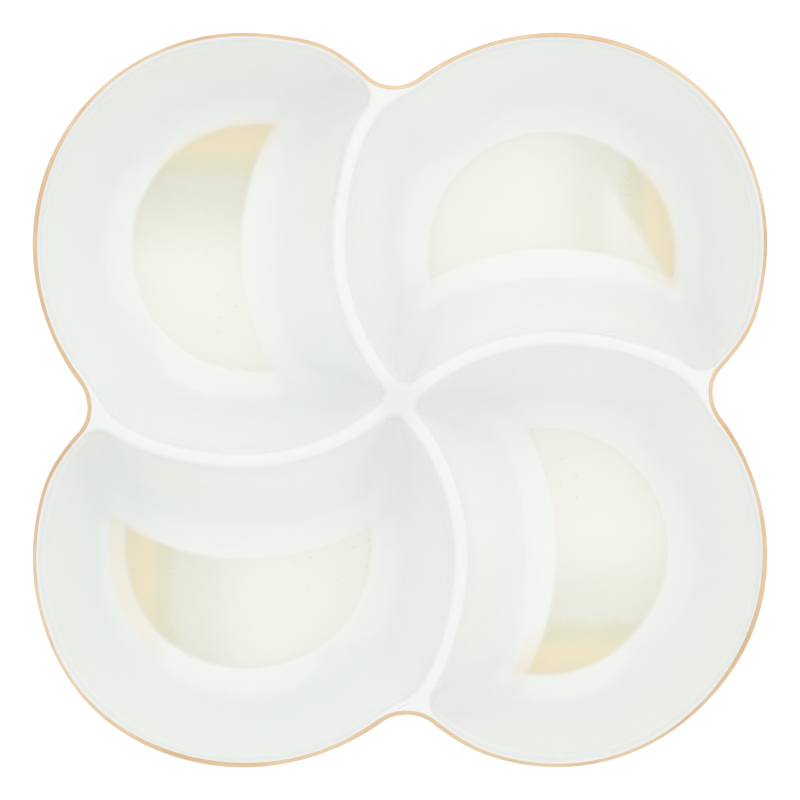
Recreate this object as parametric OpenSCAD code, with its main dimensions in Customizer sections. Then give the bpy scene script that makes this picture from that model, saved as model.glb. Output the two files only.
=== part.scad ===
// Divided serving dish: four crescent bowls set as a pinwheel inside a four-lobed rim.
// The circle of each lobe runs on past the rim and becomes the divider that cuts the lobe before it short.
// Millimetres, Z up. The dish stands on its foot rings at z = 0, about its own centre.

/* [Plan] */
// Distance from the dish centre to each lobe centre, along X and along Y
lobe_offset = 53.5; // [50:0.5:56]
// Radius of each lobe at the outer edge of the rim
lobe_r = 71.5; // [68:0.5:75]
// Radius of the hollow in the rim where two lobes meet
notch_r = 13.5; // [9:0.5:18]

/* [Heights] */
// Height of the dish
rim_h = 42; // [32:1:60]
// Height of the foot rings
foot_h = 2.5; // [1:0.25:5]
// Thickness of the bowl floors
floor_t = 3.5; // [2:0.25:6]
// Height of the rim and of the divider crests above the bowls that they cap
crest_h = 4; // [3:0.25:7]

/* [Walls] */
// Thickness of the rim
wall_t = 2.8; // [2:0.1:3.6]
// Thickness of a divider crest outside the lobe circle that it follows
divider_out = 5.9; // [3:0.1:7]
// Rounding of the upper edges, as a share of the rim's thickness
edge_share = 0.45; // [0.2:0.05:0.48]
// Gap between the outer faces of neighbouring bowls under the dividers
seam_gap = 0.3; // [0.2:0.05:0.6]

/* [Floors] */
// Radius of the outer arc of each floor
floor_r = 45.2; // [40:0.2:48]
// Shift of that arc's centre from the lobe centre towards the next lobe
floor_shift = 2.5; // [1:0.1:7]
// Radius of the inner arc of each floor, on the divider side
inner_r = 90; // [84:0.5:96]
// Distance of that arc's centre from the centre of the next lobe
inner_shift = 17.7; // [15:0.1:21]
// Rounding of the two tips of each floor
tip_r = 2; // [1:0.1:4]

/* [Feet] */
// Width of a foot ring
foot_w = 3; // [2:0.1:4]
// Distance of a foot ring from the edge of the bowl's underside
foot_margin = 0.8; // [0.3:0.1:1.5]

/* [Decoration] */
// Thickness of the colour washes
wash_t = 0.2; // [0.1:0.05:0.5]
// Bare floor left round each wash
wash_margin = 0.6; // [0.2:0.1:1.2]
// Thickness of the gilding
gilt_t = 0.15; // [0.1:0.05:0.4]
// How far the gilding runs down the outside below the rounded edge
gilt_drop = 0.5; // [0.2:0.1:1.2]

/* [Hidden] */
places = ["rear_right", "rear_left", "front_left", "front_right"];
sides = ["right", "rear", "left", "front"];
$fn = 96;

// Steps along the arcs and round the tips of a crescent, and rings up the inner and outer faces of a bowl
arc_steps = 40;
tip_steps = 5;
inner_rings = 8;
outer_rings = 5;
// Length by which cutters pass the faces they cut, and that length as a turn along a lobe's circle
overrun = wall_t / 3;
overrun_turn = overrun / lobe_r * 180 / PI;

edge_r = wall_t * edge_share;
seat_h = rim_h - crest_h;
floor_h = foot_h + floor_t;

// Centres for the rear right bowl: its own lobe, the next lobe clockwise, and the hollow between them
own_c = [lobe_offset, lobe_offset];
next_c = [lobe_offset, -lobe_offset];
notch_c = [lobe_offset + sqrt(pow(lobe_r + notch_r, 2) - pow(lobe_offset, 2)), 0];

// Radii of the two faces of a divider about the next lobe's centre
face_r = lobe_r - wall_t;
back_r = lobe_r + divider_out;

// The bowl's two corners are arcs that touch its rim and its divider, one at the hollow and one at the hub
both_r = face_r + back_r;
corner_reach = (pow(both_r, 2) - pow(2 * lobe_offset, 2)) / (2 * (both_r - 2 * pow(lobe_offset, 2) / (lobe_r + notch_r)));
corner_r = face_r - corner_reach;
notch_e = own_c + corner_reach * (notch_c - own_c) / (lobe_r + notch_r);
hub_e = [2 * lobe_offset - notch_e[0], notch_e[1]];

// The end of a divider at the hub runs from where this bowl's corner begins to where the next bowl's does
hub_a = next_c + back_r * toward(next_c, hub_e);
hub_b = next_c + face_r * toward(next_c, [hub_e[1], -hub_e[0]]);
hub_past = overrun * toward(hub_b, hub_a);

// A crescent: outer centre and radius, inner centre and radius, tip radius
seam = [own_c[0], own_c[1], lobe_r, next_c[0], next_c[1], lobe_r, corner_r + wall_t];
floor_edge = [
    own_c[0], own_c[1] - floor_shift, floor_r,
    next_c[0], next_c[1] + inner_shift, inner_r, tip_r
];
// Adding this times a length widens a crescent by that length all round
widen = [0, 0, 1, 0, 0, -1, 1];
mouth = [own_c[0], own_c[1], face_r, next_c[0], next_c[1], back_r, corner_r];
outside = seam - seam_gap / 2 * widen;
base = floor_edge + wall_t * widen;
// The least tip radius that a narrowed crescent keeps
tip_least = tip_r / 4;

function heading(v) = atan2(v[1], v[0]);
function toward(p, q) = (q - p) / norm(q - p);
function spin(p, k) = [p[0] * cos(90 * k) - p[1] * sin(90 * k), p[0] * sin(90 * k) + p[1] * cos(90 * k)];
function onward(from, to) = to < from ? to + 360 : to;
function arc(c, r, from, to, steps) = [
    for (i = [0 : steps - 1]) let (a = from + (to - from) * i / steps) c + r * [cos(a), sin(a)]
];
// The point at distances rp from p and rq from q, to the right (1) or left (-1) of the way from q to p
function meet(p, rp, q, rq, side) = let (
    d = norm(q - p),
    u = (q - p) / d,
    along = (d * d + rp * rp - rq * rq) / (2 * d),
    across = sqrt(rp * rp - along * along)
) p + along * u + side * across * [-u[1], u[0]];
// The closed outline of a crescent, counter-clockwise
function outline(s) = let (
    p = [s[0], s[1]],
    q = [s[3], s[4]],
    tip = max(s[6], tip_least),
    a = meet(p, s[2] - tip, q, s[5] + tip, 1),
    b = meet(p, s[2] - tip, q, s[5] + tip, -1)
) concat(
    arc(p, s[2], heading(a - p), onward(heading(a - p), heading(b - p)), arc_steps),
    arc(b, tip, heading(b - p), onward(heading(b - p), heading(q - b)), tip_steps),
    arc(q, s[5], heading(b - q), heading(a - q), arc_steps),
    arc(a, tip, heading(q - a), onward(heading(q - a), heading(a - p)), tip_steps)
);
// The triangles that fill an outline, counter-clockwise: a ladder between its arcs and a fan at each tip
function filled() = let (b = arc_steps, a = 2 * arc_steps + tip_steps, n = a + tip_steps) concat(
    [for (i = [0 : arc_steps - 1]) each [[i, i + 1, a - i], [i + 1, a - i - 1, a - i]]],
    [for (i = [1 : tip_steps - 1]) [b, b + i, b + i + 1]],
    [for (i = [1 : tip_steps - 1]) [a, a + i, (a + i + 1) % n]]
);
// Outline of a wall at the share t of its run, which leaves the floor flat and steepens to the top
function level(low, high, z0, z1, t) = [
    for (p = outline(low + (high - low) * t)) [p[0], p[1], z0 + (z1 - z0) * t * t]
];

module turned(k) {
    rotate(90 * k) children();
}

// Sweeps a profile of radius and height about c between two headings
module swept(c, from, to) {
    translate(c) rotate(from) rotate_extrude(angle = onward(from, to) - from) children();
}

// Cuts a rounded upper edge on a wall face at radius r; the wall lies outside it (1) or inside it (-1)
module edge_cut(r, side) {
    difference() {
        translate([side > 0 ? r - overrun : r - edge_r, rim_h - edge_r]) square(edge_r + overrun);
        translate([r + side * edge_r, rim_h - edge_r]) circle(edge_r);
    }
}

// A crescent bowl: floor, inner wall, flat seat, outer wall and underside
module bowl() {
    rings = concat(
        [for (i = [0 : inner_rings]) level(floor_edge, mouth, floor_h, seat_h, i / inner_rings)],
        [for (i = [outer_rings : -1 : 0]) level(base, outside, foot_h, seat_h, i / outer_rings)]
    );
    n = len(rings[0]);
    last = (len(rings) - 1) * n;
    color([0.93, 0.95, 0.94]) polyhedron(
        points = [for (r = rings) each r],
        faces = concat(
            [for (t = filled()) [t[2], t[1], t[0]]],
            [for (j = [0 : n : last - n], i = [0 : n - 1]) let (k = (i + 1) % n)
                each [[j + i, j + k, j + n + k], [j + i, j + n + k, j + n + i]]],
            [for (t = filled()) [last + t[0], last + t[1], last + t[2]]]
        )
    );
}

// The rounded lip on the free edge of one lobe, from hollow to hollow
module rim() {
    from = heading(notch_c - own_c);
    color([0.93, 0.95, 0.94]) swept(own_c, from, 90 - from) {
        translate([face_r, seat_h]) square([wall_t, crest_h - edge_r]);
        translate([face_r + edge_r, seat_h]) square([wall_t - 2 * edge_r, crest_h]);
        for (r = [face_r + edge_r, lobe_r - edge_r]) translate([r, rim_h - edge_r]) circle(edge_r);
    }
}

// A crest between two bowls: a rounded strip along the next lobe's circle, from the web to the hub
module divider() {
    color([0.93, 0.95, 0.94]) difference() {
        swept(next_c, heading(notch_e - next_c), heading(hub_b - next_c) + overrun_turn) {
            translate([face_r, seat_h]) square([back_r - face_r, crest_h - edge_r]);
            translate([face_r + edge_r, seat_h]) square([back_r - face_r - 2 * edge_r, crest_h]);
            for (r = [face_r + edge_r, back_r - edge_r]) translate([r, rim_h - edge_r]) circle(edge_r);
        }
        translate([0, 0, seat_h - overrun]) linear_extrude(crest_h + 2 * overrun) hub_plan();
    }
}

// The three-cornered web behind a hollow, where a divider reaches the rim
module web() {
    color([0.93, 0.95, 0.94]) difference() {
        translate([0, 0, seat_h]) linear_extrude(crest_h) difference() {
            polygon([next_c, notch_c, notch_e]);
            translate(next_c) circle(face_r);
            translate(notch_c) circle(notch_r);
            translate(notch_e) circle(corner_r);
        }
        translate(next_c) rotate_extrude() edge_cut(face_r, 1);
        translate(notch_c) rotate_extrude() edge_cut(notch_r, 1);
        translate(notch_e) rotate_extrude() edge_cut(corner_r, 1);
    }
}

// Plan of the hub before the corners of the four bowls are cut from it
module hub_plan() {
    polygon([for (k = [0 : 3], p = [hub_b - hub_past, hub_a + hub_past, hub_e]) spin(p, k)]);
}

// The star where the four dividers meet
module centre_hub() {
    color([0.93, 0.95, 0.94]) difference() {
        translate([0, 0, seat_h]) linear_extrude(crest_h) difference() {
            hub_plan();
            for (k = [0 : 3]) turned(k) translate(hub_e) circle(corner_r);
        }
        for (k = [0 : 3]) turned(k) translate(hub_e) rotate_extrude() edge_cut(corner_r, 1);
    }
}

// Section of the gilding on a wall face at radius r; the wall lies outside it (1) or inside it (-1)
module gilt_profile(r, side) {
    translate([side > 0 ? r - gilt_t : r, rim_h - edge_r - gilt_drop]) square([gilt_t, gilt_drop]);
    intersection() {
        translate([r + side * edge_r, rim_h - edge_r]) difference() {
            circle(edge_r + gilt_t);
            circle(edge_r);
        }
        translate([side > 0 ? r - gilt_t : r - edge_r, rim_h - edge_r]) square(edge_r + gilt_t);
    }
}

// The gold line along the whole outer edge
module rim_gilding() {
    from = heading(notch_c - own_c);
    color([0.86, 0.7, 0.5]) for (k = [0 : 3]) turned(k) {
        swept(own_c, from, 90 - from) gilt_profile(lobe_r, -1);
        swept(notch_c, heading(own_c - notch_c), heading(next_c - notch_c)) gilt_profile(notch_r, 1);
    }
}

// The unglazed ring that one bowl stands on
module foot() {
    color([0.88, 0.86, 0.8]) linear_extrude(foot_h) difference() {
        polygon(outline(base - foot_margin * widen));
        polygon(outline(base - (foot_margin + foot_w) * widen));
    }
}

// The colour wash on one floor
module wash() {
    color([0.91, 0.88, 0.78]) translate([0, 0, floor_h]) linear_extrude(wash_t)
        polygon(outline(floor_edge - wash_margin * widen));
}

for (k = [0 : 3]) turned(k) bowl();
for (k = [0 : 3]) turned(k) rim();
for (k = [0 : 3]) turned(k) divider();
for (k = [0 : 3]) turned(k) web();
centre_hub();
rim_gilding();
for (k = [0 : 3]) turned(k) foot();
for (k = [0 : 3]) turned(k) wash();
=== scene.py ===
import math

import bmesh
import bpy
from mathutils import Matrix, Vector


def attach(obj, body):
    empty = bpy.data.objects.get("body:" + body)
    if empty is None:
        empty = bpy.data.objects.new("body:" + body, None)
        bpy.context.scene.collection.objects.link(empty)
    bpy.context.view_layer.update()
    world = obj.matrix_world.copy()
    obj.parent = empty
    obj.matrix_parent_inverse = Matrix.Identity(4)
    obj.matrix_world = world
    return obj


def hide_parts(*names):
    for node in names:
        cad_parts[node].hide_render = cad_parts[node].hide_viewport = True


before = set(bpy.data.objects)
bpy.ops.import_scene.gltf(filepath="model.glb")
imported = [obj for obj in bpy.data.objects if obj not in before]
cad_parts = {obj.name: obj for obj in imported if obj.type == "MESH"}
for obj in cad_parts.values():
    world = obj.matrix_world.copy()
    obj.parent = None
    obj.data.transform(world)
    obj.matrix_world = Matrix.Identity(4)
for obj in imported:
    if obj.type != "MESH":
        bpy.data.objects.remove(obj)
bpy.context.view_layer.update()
mm = 0.001
# each of these is a quarter turn on from the one before
places = ["rear_right", "rear_left", "front_left", "front_right"]
sides = ["right", "rear", "left", "front"]

# The plan that every piece follows: lobe circles, the hollows between them,
# the heights and the rounding of the edges
plan = {
    "lobeOffset": 53.5 * mm, "lobeRadius": 71.5 * mm, "notchRadius": 13.5 * mm,
    "wall": 2.8 * mm, "seam": 0.15 * mm,
    "rimHeight": 42 * mm, "seatHeight": 38 * mm, "floorHeight": 6 * mm, "footHeight": 2.5 * mm,
    "lipRound": 1.4 * mm, "crestRound": 2.4 * mm, "crestFlat": 0.6 * mm, "crestOut": 2.9 * mm,
    "hubTip": 3.2 * mm, "flank": math.radians(67), "crease": math.radians(42), "weld": 0.001 * mm,
    # the hollows are turned a little round the middle, more the further out
    "hollowTurn": math.radians(1.5), "hollowSpread": 12, "hollowFrom": 55 * mm, "hollowTo": 95 * mm,
    # how much shallower each hollow is than the true circles, how much fuller the lobe is that starts there,
    # and how much fuller each lobe is half-way round
    "hollowShallow": {"right": 0.3 * mm, "rear": 1.0 * mm, "left": 0.3 * mm, "front": 1.2 * mm},
    "hollowFull": {"right": 1.6 * mm, "rear": 2.3 * mm, "left": 1.3 * mm, "front": 0.7 * mm},
    "lobeFull": {"rear_right": 0.3 * mm, "rear_left": 0.1 * mm,
                 "front_left": 1.1 * mm, "front_right": -0.7 * mm},
    # headings of these in degrees on from the hollow, and how far they spread
    "shallowAt": 2, "fullAt": 10.5, "fullSpread": 6, "lobeAt": 45, "lobeSpread": 11,
}
lobeRadius, wall, lip, ridge = plan["lobeRadius"], plan["wall"], plan["lipRound"], plan["crestRound"]
own = Vector((plan["lobeOffset"], plan["lobeOffset"]))
following = Vector((plan["lobeOffset"], -plan["lobeOffset"]))
lobeToNotch = lobeRadius + plan["notchRadius"]
notch = Vector((own.x + math.sqrt(lobeToNotch ** 2 - own.x ** 2), 0))


def heading(v):
    return math.atan2(v.y, v.x)


def onward(start, end):
    return end if end > start else end + 2 * math.pi


def smooth(s):
    s = min(max(s, 0), 1)
    return s * s * (3 - 2 * s)


def shoulder(radius):
    # run of a rounded edge from the seat, up its flank and over to the level top
    rise = plan["rimHeight"] - plan["seatHeight"] - radius * (1 - math.cos(plan["flank"]))
    return radius * math.sin(plan["flank"]) + rise / math.tan(plan["flank"])


def cornerReach(both):
    # from a lobe's centre to that of its bowl's corner by the hollow,
    # where the two radii it touches add up to this
    return (both ** 2 - 4 * own.x ** 2) / 2 / (both - 2 * own.x ** 2 / lobeToNotch)


# radii at seat height: a bowl's mouth along the rim and along the divider behind it,
# and the near side of its divider
rimIn = lobeRadius - lip - shoulder(lip)
backIn = lobeRadius + plan["crestOut"] - plan["crestFlat"] - shoulder(ridge)
dividerOut = lobeRadius + plan["crestOut"] + plan["crestFlat"] + shoulder(ridge)
notchTip, hubTip = rimIn - cornerReach(rimIn + dividerOut), plan["hubTip"]
notchCorner = own + (notch - own).normalized() * (rimIn - notchTip)
hubAlong = (4 * own.x ** 2 + (backIn - hubTip) ** 2 - (dividerOut + hubTip) ** 2) / 4 / own.x
hubCorner = Vector((own.x - math.sqrt((backIn - hubTip) ** 2 - hubAlong ** 2), own.y - hubAlong))
# headings between which the mouth swells from the rim out to the divider behind it
swellFrom, swellTo = math.pi / 2 - heading(notch - own), math.pi / 2 + heading(notchCorner - following)


class Wire:  # a socket that adds and multiplies like a number
    def __init__(self, tree, socket):
        self.tree, self.socket = tree, socket

    def math(self, operation, *others):
        node = self.tree.nodes.new("ShaderNodeMath")
        node.operation = operation
        for place, value in zip(node.inputs, (self, *others)):
            plug(self.tree, place, value)
        return Wire(self.tree, node.outputs[0])

    def __add__(self, other):
        return self.math("ADD", other)

    __radd__ = __add__

    def __sub__(self, other):
        return self.math("SUBTRACT", other)

    def __rsub__(self, other):
        return (self * -1) + other

    def __mul__(self, other):
        return self.math("MULTIPLY", other)

    __rmul__ = __mul__

    def __truediv__(self, other):
        return self.math("DIVIDE", other)

    def parts(self):
        node = self.tree.nodes.new("ShaderNodeSeparateXYZ")
        plug(self.tree, node.inputs[0], self)
        return [Wire(self.tree, out) for out in node.outputs]


def plug(tree, place, value):
    if isinstance(value, Wire):
        tree.links.new(value.socket, place)
    else:
        place.default_value = value


def add(tree, kind, inputs=None, **settings):
    node = tree.nodes.new(kind)
    for name, value in settings.items():
        setattr(node, name, value)
    for name, value in (inputs or {}).items():
        plug(tree, node.inputs[name], value)
    return node


def out(tree, node, name=0):
    return Wire(tree, node.outputs[name])


def vector(tree, x, y, z):
    return out(tree, add(tree, "ShaderNodeCombineXYZ", {"X": x, "Y": y, "Z": z}))


def length(x, y):
    return (x * x + y * y).math("SQRT")


def eased(s):
    s = s.math("MAXIMUM", 0.0).math("MINIMUM", 1.0)
    return s * s * (3 - s * 2)


def pick(tree, index, values):
    node = add(tree, "GeometryNodeIndexSwitch", data_type="FLOAT")
    while len(node.index_switch_items) < len(values):
        node.index_switch_items.new()
    plug(tree, node.inputs[0], index)
    for place, value in zip(list(node.inputs)[1:], values):
        plug(tree, place, value)
    return out(tree, node)


def newTree(name, sizes):
    tree = bpy.data.node_groups.new(name, "GeometryNodeTree")
    kinds = {float: "NodeSocketFloat", int: "NodeSocketInt", Vector: "NodeSocketVector"}
    tree.interface.new_socket("Section", in_out="INPUT", socket_type="NodeSocketGeometry")
    for label, kind in sizes.items():
        tree.interface.new_socket(label, in_out="INPUT", socket_type=kinds[kind])
    tree.interface.new_socket("Finish", in_out="INPUT", socket_type="NodeSocketMaterial")
    tree.interface.new_socket("Piece", in_out="OUTPUT", socket_type="NodeSocketGeometry")
    start = tree.nodes.new("NodeGroupInput")
    return tree, {item.name: Wire(tree, item) for item in start.outputs if item.name}


def closeTree(tree, given, shape, turns, crease):
    # turns the piece to its place, closes its seams, smooths it up to the crease angle and finishes it
    spun = vector(tree, 0.0, 0.0, turns * (math.pi / 2))
    placed = add(tree, "GeometryNodeTransform", {"Geometry": shape, "Rotation": spun})
    merged = add(tree, "GeometryNodeMergeByDistance",
                 {"Geometry": out(tree, placed), "Distance": plan["weld"]})
    soft = add(tree, "GeometryNodeSetShadeSmooth",
               {"Geometry": out(tree, merged), "Shade Smooth": True}, domain="FACE")
    angle = out(tree, add(tree, "GeometryNodeInputMeshEdgeAngle"), "Unsigned Angle")
    sharp = angle.math("GREATER_THAN", crease)
    creased = add(tree, "GeometryNodeSetShadeSmooth",
                  {"Geometry": out(tree, soft), "Selection": sharp, "Shade Smooth": False}, domain="EDGE")
    real = add(tree, "GeometryNodeRealizeInstances", {"Geometry": out(tree, creased)})
    finished = add(tree, "GeometryNodeSetMaterial",
                   {"Geometry": out(tree, real), "Material": given["Finish"]})
    add(tree, "NodeGroupOutput", {"Piece": out(tree, finished)})
    return tree


def gridOf(tree, section, columns):
    # a grid with a row for each point of the section; returns it with the column and row of each point
    count = out(tree, add(tree, "GeometryNodeAttributeDomainSize", {"Geometry": section}), "Point Count")
    grid = add(tree, "GeometryNodeMeshGrid", {"Vertices X": columns, "Vertices Y": count})
    index = out(tree, add(tree, "GeometryNodeInputIndex"))
    column = ((index + 0.5) / count).math("FLOOR")
    return out(tree, grid, "Mesh"), column, index - column * count


def fromSection(tree, section, row, label=None):
    kind = "FLOAT" if label else "FLOAT_VECTOR"
    source = (add(tree, "GeometryNodeInputNamedAttribute", {"Name": label}, data_type=kind) if label
              else add(tree, "GeometryNodeInputPosition"))
    node = add(tree, "GeometryNodeSampleIndex", {"Geometry": section, "Index": row},
               data_type=kind, domain="POINT")
    plug(tree, node.inputs["Value"], out(tree, source))
    return out(tree, node)


def sectionMesh(name, points, **labels):
    mesh = bpy.data.meshes.new(name)
    mesh.from_pydata([tuple(p) for p in points], [(i, i + 1) for i in range(len(points) - 1)], [])
    for label, values in labels.items():
        mesh.attributes.new(label, "FLOAT", "POINT").data.foreach_set("value", [float(v) for v in values])
    return mesh


def grow(name, tree, section, values):
    piece = bpy.data.objects.new(name, section)
    bpy.context.scene.collection.objects.link(piece)
    modifier = piece.modifiers.new(tree.name, "NODES")
    modifier.node_group = tree
    for item in tree.interface.items_tree:
        if item.in_out == "INPUT" and item.name in values:
            modifier[item.identifier] = values[item.name]
    graph = bpy.context.evaluated_depsgraph_get()
    mesh = bpy.data.meshes.new_from_object(piece.evaluated_get(graph),
                                           preserve_all_data_layers=True, depsgraph=graph)
    piece.modifiers.clear()
    piece.data = mesh
    mesh.name = name
    outwards(mesh)
    return piece


def outwards(mesh):
    # closes open ends and turns the faces outwards
    bm = bmesh.new()
    bm.from_mesh(mesh)
    rims = [e for e in bm.edges if e.is_boundary]
    if rims:
        made = bmesh.ops.holes_fill(bm, edges=rims, sides=0)["faces"]
        for face in made:
            face.normal_update()
            for edge in face.edges:
                edge.smooth = False
        bmesh.ops.triangulate(bm, faces=made)
    if bm.calc_volume(signed=True) < 0:
        bmesh.ops.reverse_faces(bm, faces=bm.faces[:])
    bm.to_mesh(mesh)
    bm.free()


def bell(angle, at, spread):
    return math.exp(-((angle - math.radians(at)) / math.radians(spread)) ** 2)


def lean(mesh):
    # the hollows sit a little further round than the lobes between them, and no two lobes are quite alike
    for vertex in mesh.vertices:
        x, y, _ = vertex.co
        turns, aside = divmod(math.atan2(y, x) + math.pi / 4, math.pi / 2)
        k, aside, far = int(turns) % 4, aside - math.pi / 4, math.hypot(x, y)
        share = smooth((far - plan["hollowFrom"]) / (plan["hollowTo"] - plan["hollowFrom"]))
        turn = plan["hollowTurn"] * share * bell(aside, 0, plan["hollowSpread"])
        push = (plan["hollowShallow"][sides[k]] * bell(aside, plan["shallowAt"], plan["fullSpread"])
                + plan["hollowFull"][sides[k]] * bell(aside, plan["fullAt"], plan["fullSpread"])
                + plan["lobeFull"][places[k]] * bell(aside, plan["lobeAt"], plan["lobeSpread"])
                + plan["lobeFull"][places[k - 1]] * bell(aside, -plan["lobeAt"], plan["lobeSpread"]))
        grown = 1 + push * share / (far + mm)
        x, y = x * grown, y * grown
        vertex.co.x = x * math.cos(turn) - y * math.sin(turn)
        vertex.co.y = x * math.sin(turn) + y * math.cos(turn)


def dress(piece, node):
    lean(piece.data)
    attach(piece, "root")
    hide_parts(node)


# Finishes

def newMaterial(name):
    material = bpy.data.materials.new(name)
    material.use_nodes = True
    return material, material.node_tree, material.node_tree.nodes["Principled BSDF"]


def noise(tree, where, scale, detail=2.0, rough=0.5):
    inputs = {"Vector": where, "Scale": scale, "Detail": detail, "Roughness": rough}
    return out(tree, add(tree, "ShaderNodeTexNoise", inputs))


def ramp(tree, value, low, high):
    # 0 below low, 1 above high, smooth between
    inputs = {"Value": value, "From Min": low, "From Max": high}
    return out(tree, add(tree, "ShaderNodeMapRange", inputs, interpolation_type="SMOOTHSTEP"), "Result")


def blend(tree, share, a, b, how="MIX"):
    node = add(tree, "ShaderNodeMix", {"Factor": share}, data_type="RGBA", blend_type=how)
    for place, value in zip([s for s in node.inputs if s.type == "RGBA"], (a, b)):
        plug(tree, place, value if isinstance(value, Wire) else (*value, 1))
    return Wire(tree, next(s for s in node.outputs if s.type == "RGBA"))


def objectPlace(tree):
    return out(tree, add(tree, "ShaderNodeTexCoord"), "Object")


def bumped(tree, shader, height, strength, distance):
    bump = add(tree, "ShaderNodeBump", {"Height": height, "Strength": strength, "Distance": distance})
    plug(tree, shader.inputs["Normal"], out(tree, bump))


glaze = {
    # the second and third colours are painted shade: a darker tone for the crests' tops and a darker one
    # still for the flat tops of the lip and hub
    "body": (0.868, 0.884, 0.872), "thinShaded": (0.846, 0.858, 0.846), "paintedShade": (0.800, 0.811, 0.799),
    "pooled": (0.93, 0.985, 0.965), "bareAndGlint": (1.0, 0.985, 0.96), "speck": (0.42, 0.40, 0.36),
    # scale and detail of the slow drift and of the orange peel
    "drift": (14.0, 3.0), "driftRange": (0.3, 0.7), "driftShare": 0.25,
    "peel": (420.0, 1.0), "peelShare": 0.6,
    "pinholes": 55.0, "pinholeRange": (0.006, 0.016), "pinholeRare": 0.96, "pinholeShare": 0.7,
    "rough": 0.10, "roughMore": 0.06, "roughRange": (0.2, 0.8), "wornRough": 0.3,
    "coat": 0.35, "coatRough": 0.03, "refraction": 1.5, "bump": 0.05, "bumpHeight": 0.25 * mm,
    # below the top, where the glaze runs thin and is painted darker as shade, then where the flat top is
    # painted darker still as shade, and from the middle, where the lip starts and the hub ends
    "wornShadedRange": (3 * mm, 0.5 * mm), "paintedShadeRange": (1 * mm, 0.2 * mm),
    "lipRange": (104 * mm, 116 * mm), "hubRange": (3 * mm, 14 * mm),
}


def glazeGroup():
    # the slow drift of the glaze, its orange peel and its few pinholes, for every glazed surface
    group = bpy.data.node_groups.new("glaze", "ShaderNodeTree")
    for way, labels in (("INPUT", ("Colour", "Drift")), ("OUTPUT", ("Colour", "Roughness", "Height"))):
        for label in labels:
            kind = "NodeSocketColor" if label == "Colour" else "NodeSocketFloat"
            group.interface.new_socket(label, in_out=way, socket_type=kind)
    start, end = group.nodes.new("NodeGroupInput"), group.nodes.new("NodeGroupOutput")
    where = objectPlace(group)
    slow = noise(group, where, *glaze["drift"])
    fine = noise(group, where, *glaze["peel"])
    cells = add(group, "ShaderNodeTexVoronoi",
                {"Vector": where, "Scale": glaze["pinholes"], "Randomness": 1.0})
    rare = out(group, cells, "Color").parts()[0].math("GREATER_THAN", glaze["pinholeRare"])
    pin = (1 - ramp(group, out(group, cells, "Distance"), *glaze["pinholeRange"])) * rare
    tint = blend(group, ramp(group, slow, *glaze["driftRange"]), glaze["pooled"], glaze["bareAndGlint"])
    tinted = blend(group, Wire(group, start.outputs["Drift"]),
                   Wire(group, start.outputs["Colour"]), tint, "MULTIPLY")
    plug(group, end.inputs["Colour"], blend(group, pin * glaze["pinholeShare"], tinted, glaze["speck"]))
    rough = ramp(group, slow, *glaze["roughRange"]) * glaze["roughMore"] + glaze["rough"]
    plug(group, end.inputs["Roughness"], rough)
    plug(group, end.inputs["Height"], fine * glaze["peelShare"] + slow - pin)
    return group


glazeNodes = glazeGroup()


def glazed(tree, shader, colour, wear=None):
    node = add(tree, "ShaderNodeGroup", {"Colour": colour, "Drift": glaze["driftShare"]},
               node_tree=glazeNodes)
    plug(tree, shader.inputs["Base Color"], out(tree, node, "Colour"))
    rough, coat = out(tree, node, "Roughness"), glaze["coat"]
    if wear:
        rough, coat = rough + wear * glaze["wornRough"], (1 - wear) * coat
    plug(tree, shader.inputs["Roughness"], rough)
    plug(tree, shader.inputs["Coat Weight"], coat)
    bumped(tree, shader, out(tree, node, "Height"), glaze["bump"], glaze["bumpHeight"])
    shader.inputs["IOR"].default_value = glaze["refraction"]
    shader.inputs["Coat Roughness"].default_value = glaze["coatRough"]


def porcelainFinish():
    # the glaze runs thin on the crests, rougher and with less coat; their tops are painted darker as shade,
    # the flat tops of the lip and the hub darkest
    material, tree, shader = newMaterial("porcelainGlaze")
    x, y, high = objectPlace(tree).parts()
    far = length(x, y)
    # painted shade: the crests' tops take a darker colour and the flat tops of the lip and hub a darker one
    # still; the thin glaze there is also rougher with less coat
    wornShaded, top = [ramp(tree, high, *[plan["rimHeight"] - below for below in glaze[label]])
                 for label in ("wornShadedRange", "paintedShadeRange")]
    paintedShade = top * (ramp(tree, far, *glaze["lipRange"]) + 1 - ramp(tree, far, *glaze["hubRange"]))
    thinShaded = blend(tree, paintedShade, glaze["thinShaded"], glaze["paintedShade"])
    glazed(tree, shader, blend(tree, wornShaded, glaze["body"], thinShaded), wornShaded)
    return material


crescent = {
    "floorRadius": 45.2 * mm, "floorShift": 2.5 * mm, "innerRadius": 90 * mm, "tipRadius": 2 * mm,
    "innerShift": {"rear_right": 15.0 * mm, "rear_left": 17.7 * mm,
                   "front_left": 17.5 * mm, "front_right": 17.2 * mm},
    "tipLeast": 0.5 * mm, "tipSwell": 7 * mm, "arcSteps": 96, "tipSteps": 20,
}
floorArc = Vector((own.x, own.y - crescent["floorShift"], crescent["floorRadius"]))
floorInner = {place: Vector((following.x, following.y + shift, crescent["innerRadius"]))
              for place, shift in crescent["innerShift"].items()}

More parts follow.
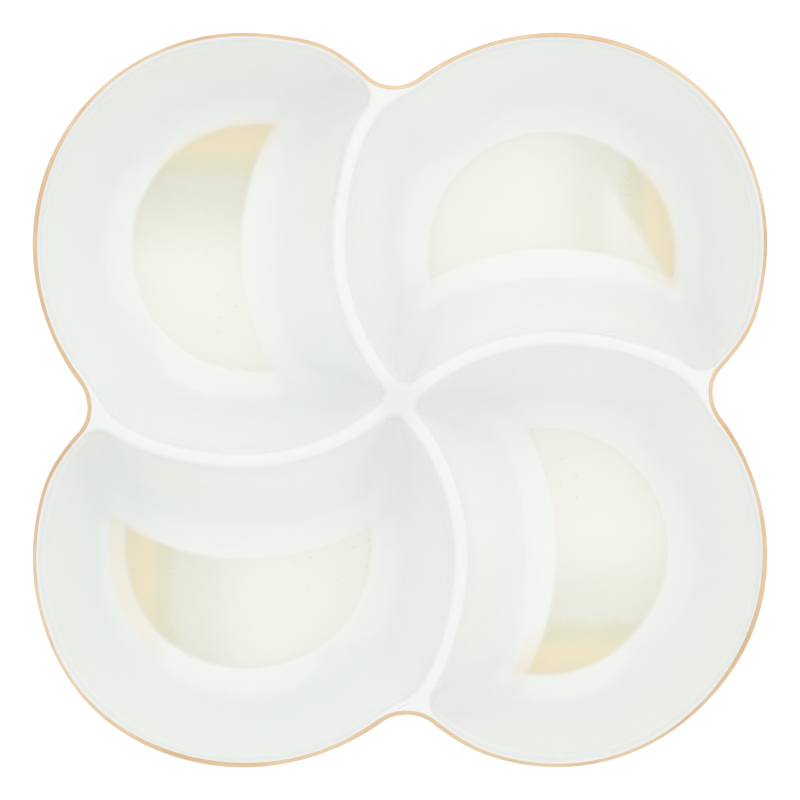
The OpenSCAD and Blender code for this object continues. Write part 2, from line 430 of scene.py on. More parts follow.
wash = {
    "cream": (0.915, 0.912, 0.855), "olive": (0.805, 0.800, 0.690), "edge": (0.815, 0.785, 0.620),
    # the last two colours here are painted highlights: the tan that runs up the fillet made paler, and the
    # glaze just past the wash made paler and warmer
    "tan": (0.905, 0.812, 0.605), "tanHighlight": (0.895, 0.848, 0.745), "paleHighlight": (0.885, 0.890, 0.858),
    "speck": (0.78, 0.79, 0.76),
    "oliveFrom": 44 * mm, "oliveTo": 77 * mm, "edgeTo": 82.5 * mm, "tanTo": 89.5 * mm, "endTo": 93.5 * mm,
    # how strong the olive is
    "depth": {"rear_right": 0.66, "rear_left": 1.0, "front_left": 0.7, "front_right": 0.66},
    "film": 0.03 * mm, "sunk": 0.12 * mm, "reach": 0.34,
    # scale and strength of the brush dabs, with their detail and roughness, of the sponging and of the grain
    "dabs": (140.0, 7 * mm, 3.0, 0.6), "sponge": (1000.0, 10 * mm), "grain": ((900.0, 0.12), (330.0, 0.35)),
    "edgeDab": 0.15, "toneDab": 0.8, "tanDab": 0.5,  # how much of the dabs each edge between tones takes up
    "specks": 190.0, "speckRange": (0.04, 0.12), "speckRare": 0.72, "speckShare": 0.6,
    "speckAlong": (36 * mm, 44 * mm), "speckAcross": (10 * mm, 18 * mm),
    # how soft the wash's edges are, and how far and how softly the painted highlight runs past them
    "soft": 1.2 * mm, "endSoft": 1.4 * mm, "highlightRun": 2 * mm, "highlightSoft": 2.5 * mm,
    # mm that each wash runs past the level floor: its outer and inner edge, then the same at its strong end
    "runs": {"rear_right": (0.3, 0.3, 2.5, 3.5), "rear_left": (1.0, 0.3, 2.5, 2.5),
             "front_left": (0.3, 0.3, 6.5, 1.5), "front_right": (0.3, 0.3, 1.2, 5.5)},
    # a painted reflection that turns the colour pale cream below a slanting line: a point on it and its slope
    "bareAndGlint": {"rear_right": (79.5 * mm, 68.5 * mm, 1.55)},
    "glintRange": (-2 * mm, 5 * mm), "glintFrom": 14 * mm, "glintTo": 2 * mm, "glintShare": 0.8,
}


def washFinish(place):
    # tones laid along the floor, with dabbed edges; past the level floor, on the fillet, they are painted
    # paler as a highlight
    material, tree, shader = newMaterial("colourWash_" + place)
    outer, inner, outerEnd, innerEnd = [run * mm for run in wash["runs"][place]]
    local = out(tree, add(tree, "ShaderNodeAttribute", attribute_name="local",
                          attribute_type="GEOMETRY"), "Vector")
    along, across, _ = local.parts()
    inside = floorInner[place]
    # in from the edges of the level floor
    fromOuter = floorArc.z - length(along - floorArc.x, across - floorArc.y) - bowl["inset"]
    fromInner = length(along - inside.x, across - inside.y) - inside.z - bowl["inset"]
    where = objectPlace(tree)

    def uneven(scale, strength, *kind):
        return (noise(tree, where, scale, *kind) - 0.5) * strength

    def within(outerRun, innerRun, soft):
        edge = dabs * wash["edgeDab"]
        return (ramp(tree, fromOuter + edge, -outerRun - soft, -outerRun + soft)
                * ramp(tree, fromInner + edge, -innerRun - soft, -innerRun + soft))

    dabs, sponged = uneven(*wash["dabs"]), uneven(*wash["sponge"])
    fine, coarse = [uneven(*grain) for grain in wash["grain"]]
    green = ramp(tree, along + dabs * wash["toneDab"], wash["oliveFrom"], wash["oliveTo"])
    tone = blend(tree, green * (fine + coarse + 1) * wash["depth"][place], wash["cream"], wash["olive"])
    cells = add(tree, "ShaderNodeTexVoronoi", {"Vector": where, "Scale": wash["specks"], "Randomness": 1.0},
                voronoi_dimensions="2D")
    specks = out(tree, cells, "Color").parts()[0].math("GREATER_THAN", wash["speckRare"])
    limits = {"speckRange": out(tree, cells, "Distance"), "speckAlong": along, "speckAcross": fromInner}
    for label, value in limits.items():
        specks = specks * (1 - ramp(tree, value, *wash[label]))
    tone = blend(tree, specks * wash["speckShare"], tone, wash["speck"])
    tone = blend(tree, ramp(tree, along + dabs + sponged, wash["oliveTo"], wash["edgeTo"]),
                 tone, wash["edge"])
    tone = blend(tree, ramp(tree, along + dabs * wash["tanDab"], wash["edgeTo"], wash["tanTo"]),
                 tone, wash["tan"])
    # painted reflection: one floor's colour turned pale cream below a slanting line
    if place in wash["bareAndGlint"]:
        u, v, slope = wash["bareAndGlint"][place]
        below = ramp(tree, (v - across) - (along - u) * slope + dabs * wash["toneDab"], *wash["glintRange"])
        paintedGlint = below * ramp(tree, along, u - wash["glintFrom"], u - wash["glintTo"])
        tone = blend(tree, paintedGlint * wash["glintShare"], tone, wash["cream"])
    # the strong end of the floor, whose tan runs up the fillet and is painted paler there as a highlight; the
    # glaze just past the wash is painted paler and warmer as a highlight
    end = ramp(tree, along + dabs * wash["tanDab"], wash["oliveTo"], wash["endTo"])
    weak, strong = within(outer, inner, wash["soft"]), within(outerEnd, innerEnd, wash["endSoft"])
    # painted highlight: a paler, warmer band of glaze just past the wash, and the tan made paler up the
    # fillet at the strong end
    rim = within(outer + wash["highlightRun"], inner + wash["highlightRun"], wash["highlightSoft"])
    under = blend(tree, strong * end, blend(tree, rim, glaze["body"], wash["paleHighlight"]), wash["tanHighlight"])
    glazed(tree, shader, blend(tree, weak, under, tone))
    return material


gilding = {
    "gold": (0.725, 0.50, 0.295), "pale": (0.82, 0.66, 0.46), "dark": (0.56, 0.38, 0.21),
    "film": 0.06 * mm, "sunk": 0.2 * mm, "drop": 0.5 * mm,
    "narrow": 1.3 * mm, "wide": 1.85 * mm, "wideAt": 78.0, "wideHalf": 42.0,
    "hollow": 1.6 * mm, "flare": 20.0,
    "sway": 0.28 * mm, "swayScale": 55.0, "swayDetail": 2.0, "seed": 7.3,
    "rows": 16, "notchSteps": 48, "crease": math.radians(50),
    "feather": 12.0, "featherDeep": 1.2,  # how late and how far the line's inner edge dips into the glaze
    # scale and detail of the clouds of tone and of the brush streaks
    "tone": (34.0, 4.0), "streak": (700.0, 2.0), "paleRange": (0.3, 0.75),
    "darkRange": (0.22, 0.40), "darkStreak": 0.3, "darkShare": 0.55,
    "rough": 0.36, "roughMore": 0.15, "metallic": 0.45, "bump": 0.12, "bumpHeight": 0.1 * mm,
}


def gildingFinish():
    material, tree, shader = newMaterial("firedGilding")
    where = objectPlace(tree)
    tone = noise(tree, where, *gilding["tone"])
    streak = noise(tree, where, *gilding["streak"])
    colour = blend(tree, ramp(tree, tone, *gilding["paleRange"]), gilding["gold"], gilding["pale"])
    dark = 1 - ramp(tree, tone + (streak - 0.5) * gilding["darkStreak"], *gilding["darkRange"])
    plug(tree, shader.inputs["Base Color"], blend(tree, dark * gilding["darkShare"], colour, gilding["dark"]))
    plug(tree, shader.inputs["Roughness"], streak * gilding["roughMore"] + gilding["rough"])
    shader.inputs["Metallic"].default_value = gilding["metallic"]
    bumped(tree, shader, streak + tone, gilding["bump"], gilding["bumpHeight"])
    return material


biscuit = {
    "clay": (0.80, 0.765, 0.68), "stain": (0.60, 0.54, 0.45),
    # scale and detail of the stains and of the grain, with its roughness
    "stains": (45.0, 4.0), "stainRange": (0.5, 0.8), "stainShare": 0.45,
    "grain": (1600.0, 3.0, 0.7), "grainShare": 0.3,
    "glazeLine": 0.9 * mm, "glazeEdge": 0.12 * mm, "glazeSway": 0.6 * mm,
    "rough": 0.85, "glazedLess": 0.72, "bump": 0.35, "bumpHeight": 0.12 * mm,
}


def biscuitFinish():
    material, tree, shader = newMaterial("biscuitFoot")
    where = objectPlace(tree)
    grain = noise(tree, where, *biscuit["grain"])
    stain = noise(tree, where, *biscuit["stains"])
    stained = ramp(tree, stain, *biscuit["stainRange"]) * biscuit["stainShare"]
    raw = blend(tree, stained + (grain - 0.5) * biscuit["grainShare"], biscuit["clay"], biscuit["stain"])
    high = where.parts()[2] + (stain - 0.5) * biscuit["glazeSway"]
    covered = ramp(tree, high, biscuit["glazeLine"] - biscuit["glazeEdge"], biscuit["glazeLine"])
    plug(tree, shader.inputs["Base Color"], blend(tree, covered, raw, glaze["body"]))
    plug(tree, shader.inputs["Roughness"], biscuit["rough"] - covered * biscuit["glazedLess"])
    bumped(tree, shader, grain * (1 - covered), biscuit["bump"], biscuit["bumpHeight"])
    return material


porcelain, gold, clay = porcelainFinish(), gildingFinish(), biscuitFinish()
print("finishes made")


# The crescent: bowls, washes and foot rings are sections drawn round it

seamTip = lobeRadius - cornerReach(2 * lobeRadius) - plan["seam"]
crescentSizes = {
    "Floor arc": floorArc, "Floor inner arc": floorInner[places[0]], "Floor tip": crescent["tipRadius"],
    "Mouth arc": Vector((own.x, own.y, rimIn)),
    "Mouth inner arc": Vector((following.x, following.y, dividerOut)),
    "Mouth tip": notchTip, "Hub tip": hubTip,
    "Swell": backIn - rimIn, "Swell from": swellFrom, "Swell to": swellTo,
    "Outside arc": Vector((own.x, own.y, lobeRadius - plan["seam"])),
    "Outside inner arc": Vector((following.x, following.y, lobeRadius + plan["seam"])),
    "Outside tip": seamTip,
    "Least tip": crescent["tipLeast"], "Tip swell": crescent["tipSwell"],
    "Arc steps": crescent["arcSteps"], "Tip steps": crescent["tipSteps"],
}


def crescentLoft():
    # a section point is: share of the way from floor to mouth, widening, height
    # it also has its spread from the spine, and 0 for the inner skin or 1 for the outer
    kinds = {label: type(value) for label, value in crescentSizes.items()}
    tree, given = newTree("crescentLoft", {**kinds, "Quarter turns": int})
    section, arcs, tips = given["Section"], given["Arc steps"], given["Tip steps"]
    total = (arcs + tips) * 2
    shape, column, row = gridOf(tree, section, total + 1)
    share, widen, height = fromSection(tree, section, row).parts()
    spread, skin = fromSection(tree, section, row, "spread"), fromSection(tree, section, row, "skin")

    def mixed(low, inside, outside):
        return low + (inside + (outside - inside) * skin - low) * share

    def mixedArc(*labels):
        return [mixed(*values) for values in zip(*(given[label].parts() for label in labels))]

    px, py, pr = mixedArc("Floor arc", "Mouth arc", "Outside arc")
    qx, qy, qr = mixedArc("Floor inner arc", "Mouth inner arc", "Outside inner arc")
    pr, qr = pr + widen, qr - widen
    bulge = given["Swell"] * share * (1 - skin)
    full = given["Tip swell"] * share * (1 - share) * (1 - skin) * 4  # the corners are roundest half-way up
    rounds = [mixed(given["Floor tip"], given[label], given["Outside tip"]) + widen + full
              for label in ("Mouth tip", "Hub tip")]
    tipA, tipB = [tip.math("MAXIMUM", given["Least tip"]) for tip in rounds]
    dx, dy = qx - px, qy - py
    gap = length(dx, dy)
    ux, uy = dx / gap, dy / gap

    def meeting(reach, outer, side):
        run = (gap * gap + reach * reach - outer * outer) / (gap * 2)
        rise = (reach * reach - run * run).math("MAXIMUM", 0.0).math("SQRT") * side
        return px + run * ux - rise * uy, py + run * uy + rise * ux

    ax, ay = meeting(pr - tipA, qr + tipA, 1.0)
    bx, by = meeting(pr + bulge - tipB, qr + tipB, -1.0)

    def toward(x0, y0, x1, y1):
        return (y1 - y0).math("ARCTAN2", x1 - x0)

    def ahead(start, end):
        return end + end.math("LESS_THAN", start) * (2 * math.pi)

    starts = [toward(px, py, ax, ay), toward(px, py, bx, by), toward(qx, qy, bx, by), toward(ax, ay, qx, qy)]
    ends = [ahead(starts[0], starts[1]), ahead(starts[1], toward(bx, by, qx, qy)),
            toward(qx, qy, ax, ay), ahead(starts[3], starts[0])]
    firsts = [arcs * 0, arcs, arcs + tips, arcs * 2 + tips]

    def point(at):
        past = [at.math("GREATER_THAN", first - 0.5) for first in firsts[1:]]
        leg = past[0] + past[1] + past[2]
        part = (at - pick(tree, leg, firsts)) / pick(tree, leg, [arcs, tips, arcs, tips])
        start = pick(tree, leg, starts)
        angle = start + (pick(tree, leg, ends) - start) * part
        swollen = pr + bulge * eased((angle - given["Swell from"])
                                     / (given["Swell to"] - given["Swell from"]))
        radius = pick(tree, leg, [swollen, tipB, qr, tipA])
        return (pick(tree, leg, [px, bx, qx, ax]) + radius * angle.math("COSINE"),
                pick(tree, leg, [py, by, qy, ay]) + radius * angle.math("SINE"))

    across = arcs * 2 + tips - column
    across = across + across.math("LESS_THAN", -0.5) * total
    x, y = [(a + b) * 0.5 + (a - b) * 0.5 * spread for a, b in zip(point(column), point(across))]
    where = vector(tree, x, y, height)
    shape = out(tree, add(tree, "GeometryNodeSetPosition", {"Geometry": shape, "Position": where}))
    kept = {"Geometry": shape, "Name": "local", "Value": where}
    shape = out(tree, add(tree, "GeometryNodeStoreNamedAttribute", kept,
                          data_type="FLOAT_VECTOR", domain="POINT"))
    return closeTree(tree, given, shape, given["Quarter turns"], plan["crease"])


loft = crescentLoft()
bowl = {
    "floorRows": 6, "filletRows": 10, "wallRows": 44, "outerRows": 26, "margin": 6 * mm, "inset": 2.3 * mm,
    "filletRound": 5 * mm, "filletSlope": math.radians(20),
    "start": 8 * mm, "rise": 2.6, "outerRise": 2.0, "crowd": 1.2,
}


def flatRows(widen, height, skin):
    # a flat crescent from its spine out to its edge
    rows = [((0, widen - bowl["margin"], height), i / bowl["floorRows"], skin)
            for i in range(bowl["floorRows"] + 1)]
    return rows + [((0, widen, height), 1, skin)]


def innerRows():
    # the level floor, the fillet round it, then the wall that steepens up to the seat
    rows = flatRows(-bowl["inset"], plan["floorHeight"], 0)
    turn, bend = bowl["filletSlope"], bowl["filletRound"]
    for i in range(1, bowl["filletRows"] + 1):
        run = bowl["inset"] * i / bowl["filletRows"]
        past = max(0, run - bend * math.sin(turn))
        height = plan["floorHeight"] + bend - math.sqrt(bend ** 2 - (run - past) ** 2) + past * math.tan(turn)
        rows.append(((0, run - bowl["inset"], height), 1, 0))
    for i in range(1, bowl["wallRows"] + 1):
        share = (i / bowl["wallRows"]) ** bowl["crowd"]  # rows crowd towards the floor
        rows.append(((share, 0, height + bowl["start"] * share
                      + (plan["seatHeight"] - height - bowl["start"]) * share ** bowl["rise"]), 1, 0))
    return rows


def bowlSection():
    rows = innerRows()
    for i in range(bowl["outerRows"], 0, -1):
        share = i / bowl["outerRows"]
        high = plan["footHeight"] + (plan["seatHeight"] - plan["footHeight"]) * share ** bowl["outerRise"]
        rows.append(((share, wall * (1 - share), high), 1, 1))
    return rows + flatRows(wall, plan["footHeight"], 1)[::-1]


def washSection():
    # a film over the floor and up the fillet, with its edge and its underside sunk in the glaze
    rows = [row for row in innerRows() if row[0][0] < wash["reach"]]
    top = [((x, y, z + wash["film"]), s, k) for (x, y, z), s, k in rows[:-1]]
    (x, y, z), s, k = rows[-1]
    top.append(((x, y, z - wash["film"]), s, k))
    return top + [((x, y, z - wash["sunk"]), s, k) for (x, y, z), s, k in reversed(top)]


foot = {"width": 3 * mm, "margin": 0.8 * mm, "round": 0.7 * mm, "sunk": 0.3 * mm, "roundSteps": 6}


def footSection():
    outside, inside = wall - foot["margin"], wall - foot["margin"] - foot["width"]
    top, r = plan["footHeight"] + foot["sunk"], foot["round"]
    rows = [(0, outside, top)]
    for edge, way in ((outside, -1), (inside, 1)):
        for i in range(foot["roundSteps"] + 1):
            a = math.pi / 2 * (i if way < 0 else foot["roundSteps"] - i) / foot["roundSteps"]
            rows.append((0, edge + way * r * (1 - math.cos(a)), r * (1 - math.sin(a))))
    rows += [(0, inside, top), (0, outside, top)]
    return [(row, 1, 0) for row in rows]


def drawn(name, rows, k, finish):
    points, spread, skin = zip(*rows)
    section = sectionMesh(name + "Section", points, spread=spread, skin=skin)
    return grow(name, loft, section, {
        **crescentSizes, "Floor inner arc": floorInner[places[k]], "Quarter turns": k, "Finish": finish})


for k, place in enumerate(places):
    dress(drawn("bowl_" + place, bowlSection(), k, porcelain), "bowl_" + place)
    dress(drawn("foot_" + place, footSection(), k, clay), "foot_" + place)
    dress(drawn("wash_" + place, washSection(), k, washFinish(place)), "wash_" + place)
print("bowls, feet and washes made")


# Rims and dividers: one section swept along an arc

def arcSweep():
    # a section point is an offset from the arc's radius and a height
    kinds = {"Centre": Vector, "Radius": float, "From": float, "To": float,
             "Steps": int, "Quarter turns": int}
    tree, given = newTree("arcSweep", kinds)
    shape, column, row = gridOf(tree, given["Section"], given["Steps"] + 1)
    offset, _, height = fromSection(tree, given["Section"], row).parts()
    angle = given["From"] + (given["To"] - given["From"]) * (column / given["Steps"])
    cx, cy, _ = given["Centre"].parts()
    r = given["Radius"] + offset
    where = vector(tree, cx + r * angle.math("COSINE"), cy + r * angle.math("SINE"), height)
    shape = out(tree, add(tree, "GeometryNodeSetPosition", {"Geometry": shape, "Position": where}))
    return closeTree(tree, given, shape, given["Quarter turns"], plan["crease"])


sweep = arcSweep()
crest = {
    "rimSteps": 260, "dividerSteps": 150, "roundSteps": 12, "flankSteps": 3,
    "flatSteps": 2, "flatLeast": 0.01 * mm,
}


def uprightEdge(radius):
    # run inwards and drop from the top, from the seat up an upright face and over its rounded edge
    rise = plan["rimHeight"] - plan["seatHeight"]
    turns = [math.pi / 2 * i / crest["roundSteps"] for i in range(crest["roundSteps"] + 1)]
    return [(0, rise)] + [(radius * (1 - math.cos(a)), radius * (1 - math.sin(a))) for a in turns]


def leaningEdge(radius):
    # the same for a face that leans back as a bowl's wall does
    rise, end = plan["rimHeight"] - plan["seatHeight"], shoulder(radius)
    turns = [plan["flank"] * (1 - i / crest["roundSteps"]) for i in range(crest["roundSteps"] + 1)]
    curve = [(end - radius * math.sin(a), radius * (1 - math.cos(a))) for a in turns]
    flank = [(curve[0][0] * i / crest["flankSteps"], rise + (curve[0][1] - rise) * i / crest["flankSteps"])
             for i in range(crest["flankSteps"])]
    return flank + curve


def crestSection(low, lowEdge, high, highEdge):
    top = plan["rimHeight"]
    rows = [(low + run, 0, top - drop) for run, drop in lowEdge]
    start, end = rows[-1][0], high - highEdge[-1][0]
    if end - start > crest["flatLeast"]:
        rows += [(start + (end - start) * i / crest["flatSteps"], 0, top)
                 for i in range(1, crest["flatSteps"])]
    else:
        rows.pop()
    return rows + [(high - run, 0, top - drop) for run, drop in reversed(highEdge)] + rows[:1]


def swept(name, k, rows, centre, start, end, steps):
    return grow(name, sweep, sectionMesh(name + "Section", rows), {
        "Centre": centre.to_3d(), "Radius": lobeRadius, "From": start, "To": end,
        "Steps": steps, "Quarter turns": k, "Finish": porcelain})


rimFrom, rimTo = heading(notch - own), math.pi / 2 - heading(notch - own)
dividerFrom, dividerTo = heading(notchCorner - following), heading(hubCorner - following)
rimRows = crestSection(rimIn - lobeRadius, leaningEdge(lip), 0, uprightEdge(lip))
dividerRows = crestSection(backIn - lobeRadius, leaningEdge(ridge),
                           dividerOut - lobeRadius, leaningEdge(ridge))
for k in range(4):
    name = "rim_" + places[k]
    dress(swept(name, k, rimRows, own, rimFrom, rimTo, crest["rimSteps"]), name)
    name = "divider_" + sides[k]
    dress(swept(name, k, dividerRows, following, dividerFrom, dividerTo, crest["dividerSteps"]),
          name)
print("rims and dividers made")


# Webs and hub: rounded edges along arcs round a flat top

patch = {"step": 0.45 * mm, "fewestSteps": 8}


def edgeStrip(bm, centre, radii, headings, rounds, edge):
    # the face and rounded edge of a patch that lies outside this arc,
    # as columns of points from the seat to the top
    steps = max(patch["fewestSteps"], int(abs(headings[1] - headings[0]) * radii[0] / patch["step"]))
    columns = []
    for i in range(steps + 1):
        a = headings[0] + (headings[1] - headings[0]) * i / steps
        radius, rounding = [low + (high - low) * smooth(i / steps) for low, high in (radii, rounds)]
        ray = Vector((math.cos(a), math.sin(a)))
        columns.append([bm.verts.new((*(centre + ray * (radius + run)), plan["rimHeight"] - drop))
                        for run, drop in edge(rounding)])
    for a, b in zip(columns, columns[1:]):
        for j in range(len(a) - 1):
            bm.faces.new((a[j], b[j], b[j + 1], a[j + 1]))
    return columns


def ringFace(bm, verts):
    apart = [v for v, last in zip(verts, verts[-1:] + verts[:-1]) if (v.co - last.co).length > plan["weld"]]
    face = bm.faces.new(apart)
    face.normal_update()
    return face


def patchPiece(name, strips, k):
    bm = bmesh.new()
    made = [edgeStrip(bm, *strip) for strip in strips]
    columns = [c for strip in made for c in strip]
    flats = [ringFace(bm, [c[-1] for c in columns]), ringFace(bm, [c[0] for c in columns])]
    flats += [ringFace(bm, [*a[-1], *reversed(b[0])]) for a, b in zip(made, made[1:] + made[:1])
              if (a[-1][0].co - b[0][0].co).length > plan["weld"]]
    bmesh.ops.triangulate(bm, faces=flats, quad_method="BEAUTY", ngon_method="EAR_CLIP")
    bmesh.ops.remove_doubles(bm, verts=bm.verts[:], dist=plan["weld"])
    bmesh.ops.recalc_face_normals(bm, faces=bm.faces[:])
    for face in bm.faces:
        face.smooth = True
    for edge in bm.edges:
        edge.smooth = len(edge.link_faces) != 2 or edge.calc_face_angle(0) < plan["crease"]
    bm.transform(Matrix.Rotation(math.pi / 2 * k, 4, "Z"))
    mesh = bpy.data.meshes.new(name)
    bm.to_mesh(mesh)
    bm.free()
    mesh.materials.append(porcelain)
    outwards(mesh)
    piece = bpy.data.objects.new(name, mesh)
    bpy.context.scene.collection.objects.link(piece)
    return piece


def turned(v, k):
    return Vector((v.x, v.y)) if k == 0 else turned(Vector((-v.y, v.x)), k - 1)


def nearest(angle, other):
    # the same heading within half a turn of another
    return angle - 2 * math.pi * round((angle - other) / 2 / math.pi)


notchFrom, notchTo = onward(0, heading(following - notch)), onward(0, heading(own - notch))
webStrips = [
    (following, (backIn, rimIn), (dividerFrom, heading(notch - following)), (ridge, lip), leaningEdge),
    (notch, (plan["notchRadius"], plan["notchRadius"]), (notchFrom, notchTo), (lip, lip), uprightEdge),
    (notchCorner, (notchTip, notchTip), (heading(notch - notchCorner), heading(following - notchCorner)),
     (lip, ridge), leaningEdge),
]
hubStrips = []
for k in range(4):
    corner, circle, after = turned(hubCorner, k), turned(own, k), turned(hubCorner, k + 1)
    middle = heading(corner - circle)
    start = nearest(heading(turned(following, k) - corner), middle)
    end = nearest(heading(after - circle), middle)
    hubStrips.append((corner, (hubTip, hubTip), (start, middle), (ridge, ridge), leaningEdge))
    hubStrips.append((circle, (backIn, backIn), (middle, end), (ridge, ridge), leaningEdge))
for k, side in enumerate(sides):
    dress(patchPiece("web_" + side, webStrips, k), "web_" + side)
dress(patchPiece("centre_hub", hubStrips, 0), "centre_hub")
print("webs and hub made")


# The gold line, laid over the outer edge of the rim and webs

gildSizes = {
    "Lip": lip, "Top": plan["rimHeight"], "Film": gilding["film"], "Sunk": gilding["sunk"],
    "Narrow": gilding["narrow"], "Wide": gilding["wide"], "Wide at": math.radians(gilding["wideAt"]),
    "Wide half": math.radians(gilding["wideHalf"]), "Hollow": gilding["hollow"],
    "Flare": math.radians(gilding["flare"]),
    "Feather": gilding["feather"], "Feather deep": gilding["featherDeep"],
    "Sway": gilding["sway"], "Sway scale": gilding["swayScale"], "Sway detail": gilding["swayDetail"],
    "Seed": gilding["seed"],
    "Own": Vector((own.x, own.y, lobeRadius)), "Notch": Vector((notch.x, notch.y, plan["notchRadius"])),
    "Own face": Vector((own.x, own.y, lobeRadius - 2 * lip)),
    "Following face": Vector((following.x, following.y, lobeRadius - 2 * lip)),
    "Corner face": Vector((notchCorner.x, notchCorner.y, notchTip + shoulder(lip) - lip)),
    "From": rimFrom, "To": rimTo, "Notch from": notchFrom, "Notch to": notchTo,
    "Rim steps": crest["rimSteps"], "Notch steps": gilding["notchSteps"],
}


def gildLine():
    # a section point is: share of the line's width, drop down the outside,
    # and 1 for the upper skin or 0 for the lower
    tree, given = newTree("gildLine", {label: type(value) for label, value in gildSizes.items()})
    lipRound = given["Lip"]

    def fall(ease):
        return lipRound - (lipRound * lipRound - ease * ease).math("SQRT")

    legs = []
    for onNotch in (False, True):
        steps = given["Notch steps" if onNotch else "Rim steps"]
        shape, column, row = gridOf(tree, given["Section"], steps + 1)
        share, drop, skin = fromSection(tree, given["Section"], row).parts()
        low, high = (given["Notch from"], given["Notch to"]) if onNotch else (given["From"], given["To"])
        angle = low + (high - low) * (column / steps)
        cx, cy, radius = given["Notch" if onNotch else "Own"].parts()
        cosine, sine = angle.math("COSINE"), angle.math("SINE")
        edgeX, edgeY = cx + radius * cosine, cy + radius * sine
        width = given["Hollow"]  # how wide the brush line is here
        if not onNotch:
            stretch = 1 - (angle - given["Wide at"]).math("ABSOLUTE") / given["Wide half"]
            width = given["Narrow"] + (given["Wide"] - given["Narrow"]) * eased(stretch)
            flare = 1 - (angle - low).math("MINIMUM", high - angle) / given["Flare"]
            width = width + (given["Hollow"] - width) * eased(flare)
        inputs = {"Vector": vector(tree, edgeX, edgeY, 0.0), "W": given["Seed"],
                  "Scale": given["Sway scale"], "Detail": given["Sway detail"]}
        sway = add(tree, "ShaderNodeTexNoise", inputs, noise_dimensions="4D")
        width = width + (out(tree, sway) - 0.5) * given["Sway"] * 2
        inward = width * share * share
        ease = lipRound - inward.math("MINIMUM", lipRound)
        slant = ease / lipRound
        feather = 1 - skin * share.math("POWER", given["Feather"]) * given["Feather deep"]
        level = (given["Film"] * skin - given["Sunk"] * (1 - skin)) * feather
        side = 1 if onNotch else -1
        radial = radius + side * (inward - level * slant)
        fallen = fall(ease)
        px, py = edgeX + side * inward * cosine, edgeY + side * inward * sine
        for face in (("Following face", "Corner face") if onNotch else ("Own face",)):
            ox, oy, r = given[face].parts()
            away = length(px - ox, py - oy) - r
            faceEase = lipRound - away.math("MINIMUM", lipRound).math("MAXIMUM", 0.0)
            fallen = fallen.math("MAXIMUM", fall(faceEase))
        z = given["Top"] - fallen + level * (1 - slant * slant).math("SQRT") - drop
        where = vector(tree, cx + radial * cosine, cy + radial * sine, z)
        legs.append(out(tree, add(tree, "GeometryNodeSetPosition", {"Geometry": shape, "Position": where})))
    joined = add(tree, "GeometryNodeJoinGeometry")
    for k in range(4):
        for leg in legs:
            turn = add(tree, "GeometryNodeTransform",
                       {"Geometry": leg, "Rotation": (0.0, 0.0, math.pi / 2 * k)})
            tree.links.new(turn.outputs[0], joined.inputs[0])
    return closeTree(tree, given, out(tree, joined), given["Top"] * 0, gilding["crease"])


upper = [(0, gilding["drop"], 1)] + [(i / gilding["rows"], 0, 1) for i in range(gilding["rows"] + 1)]
section = sectionMesh("gildingSection", upper + [(s, d, 0) for s, d, _ in reversed(upper)] + upper[:1])
dress(grow("rim_gilding", gildLine(), section, {**gildSizes, "Finish": gold}), "rim_gilding")
print("gilding made")


# Floor, light and camera

studio = {
    "floorSize": 6.0, "floorDrop": 0.2 * mm, "floorTone": (0.62, 0.625, 0.62), "floorGlow": 0.46,
    "floorRough": 0.9, "floorShine": 0.1,
    "world": 0.96, "zenith": 0.3, "zenithFrom": 22.0, "zenithTo": 12.0, "horizon": 0.5, "horizonTo": 14.0,
    "cameraUp": 900 * mm, "frameWidth": 272 * mm, "seesTo": 20.0,
    "boxTilt": 40.0, "boxAway": 2.3, "boxSize": 2.2,
    # heading in degrees and brightness of each softbox
    "boxes": {"east": (0, 0.35), "north": (90, 0.50), "west": (180, 0.22), "south": (270, 0.22)},
}

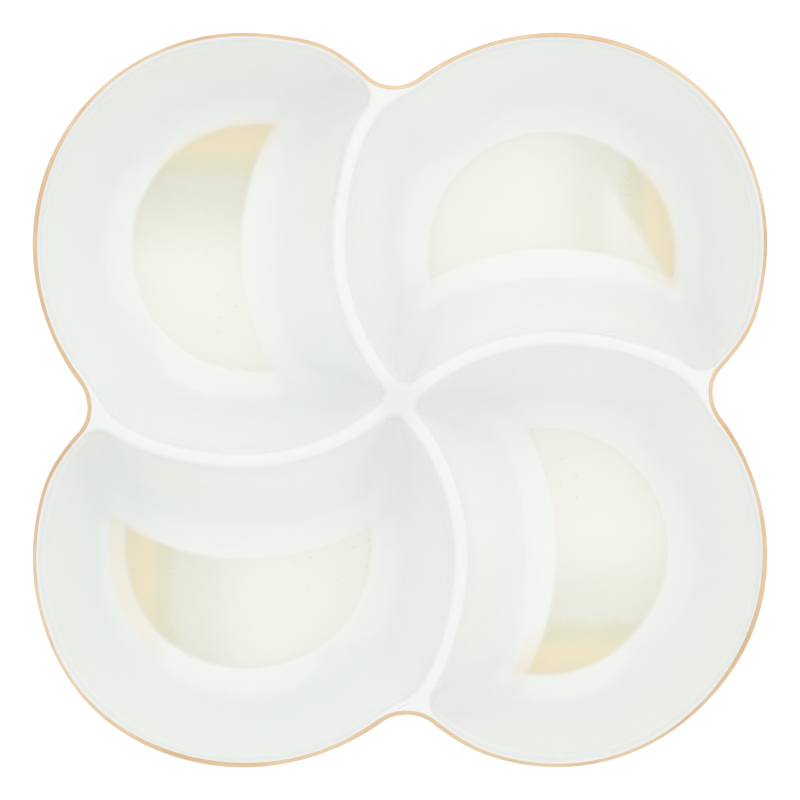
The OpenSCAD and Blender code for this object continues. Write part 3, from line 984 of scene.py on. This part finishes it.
bpy.ops.mesh.primitive_plane_add(size=studio["floorSize"], location=(0, 0, -studio["floorDrop"]))
ground = bpy.context.object
ground.name = "studio_floor"
floorMaterial, _, floorShader = newMaterial("studioFloor")
floorShader.inputs["Base Color"].default_value = (*studio["floorTone"], 1)
floorShader.inputs["Roughness"].default_value = studio["floorRough"]
floorShader.inputs["Specular IOR Level"].default_value = studio["floorShine"]
floorShader.inputs["Emission Color"].default_value = (1, 1, 1, 1)
floorShader.inputs["Emission Strength"].default_value = studio["floorGlow"]
ground.data.materials.append(floorMaterial)

world = bpy.data.worlds.new("studio")
bpy.context.scene.world = world
world.use_nodes = True
sky = world.node_tree
high = objectPlace(sky).parts()[2]
# dim straight overhead, where the camera hangs, and low down by the horizon
overhead = ramp(sky, high, *[math.cos(math.radians(studio[label])) for label in ("zenithFrom", "zenithTo")])
low = 1 - ramp(sky, high, 0.0, math.sin(math.radians(studio["horizonTo"])))
bright = (studio["world"] + overhead * (studio["zenith"] - studio["world"])
          + low * (studio["horizon"] - studio["world"]))
plug(sky, sky.nodes["Background"].inputs["Strength"], bright)
sky.nodes["Background"].inputs["Color"].default_value = (1, 1, 1, 1)

for name, (turn, strength) in studio["boxes"].items():
    light = bpy.data.lights.new("softbox_" + name, "AREA")
    light.shape, light.size = "DISK", studio["boxSize"]
    light.energy = strength * (math.pi * studio["boxSize"] / 2) ** 2
    box = bpy.data.objects.new("softbox_" + name, light)
    tilt = Vector((0, 0, studio["boxAway"]))
    tilt.rotate(Matrix.Rotation(math.radians(studio["boxTilt"]), 3, "Y"))
    tilt.rotate(Matrix.Rotation(math.radians(turn), 3, "Z"))
    box.location = tilt
    box.rotation_euler = (-tilt).to_track_quat("-Z", "Y").to_euler()
    bpy.context.scene.collection.objects.link(box)

cameraData = bpy.data.cameras.new("camera")
cameraData.sensor_fit = "HORIZONTAL"
cameraData.angle = 2 * math.atan(studio["frameWidth"] / 2 / studio["cameraUp"])
cameraData.clip_end = studio["seesTo"]
camera = bpy.data.objects.new("camera", cameraData)
camera.location = (0, 0, plan["rimHeight"] + studio["cameraUp"])
bpy.context.scene.collection.objects.link(camera)
bpy.context.scene.camera = camera
bpy.context.scene.view_settings.view_transform = "Standard"
print("studio made")
